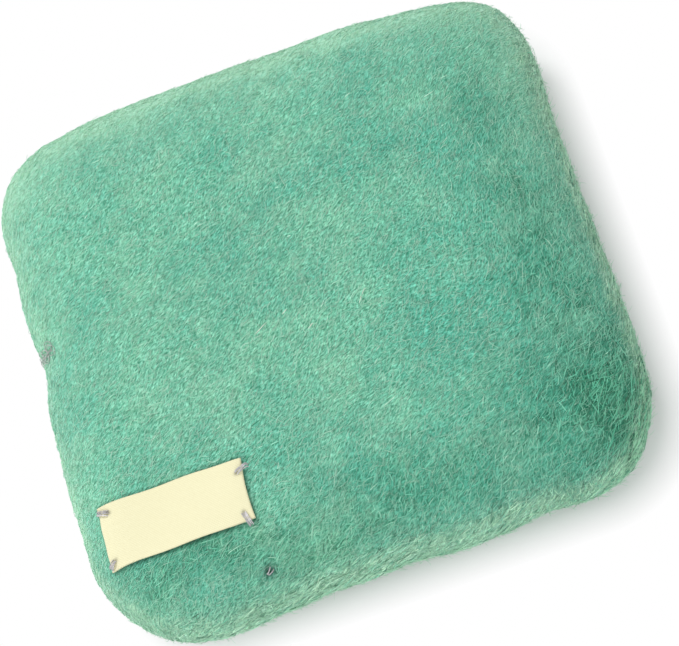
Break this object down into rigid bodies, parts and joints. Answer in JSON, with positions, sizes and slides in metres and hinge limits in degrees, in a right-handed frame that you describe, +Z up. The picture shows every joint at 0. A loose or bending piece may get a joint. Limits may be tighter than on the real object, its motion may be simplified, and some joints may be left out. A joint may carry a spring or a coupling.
{
  "type": "needle felting mat",
  "caption": "Square wool felting mat with soft rounded edges: a felted cover over a springy core, with a bare woven label tacked near one corner. Backs felting-needle work.",
  "frame": {"origin": "centre of the face that the mat rests on", "axes": "+Z up from the table, X along the label, -Y towards the side that the label lies nearest"},
  "size_m": [0.152, 0.152, 0.0404],
  "materials": {
    "felt": "matt felted wool, mint to teal, with loose fibres",
    "core_wool": "carded undyed wool",
    "label_ribbon": "cream twill ribbon",
    "thread": "twisted grey sewing thread"
  },
  "bodies": {
    "root": {"upper_cover": "felt", "lower_cover": "felt", "core_batt_1": "core_wool", "core_batt_2": "core_wool", "core_batt_3": "core_wool", "core_batt_4": "core_wool", "core_batt_5": "core_wool", "core_batt_6": "core_wool", "label": "label_ribbon", "tack_back_left": "thread", "tack_back_right": "thread", "tack_front_right": "thread", "tack_front_left": "thread", "fastening_front": "thread", "fastening_side": "thread"}
  },
  "joints": []
}
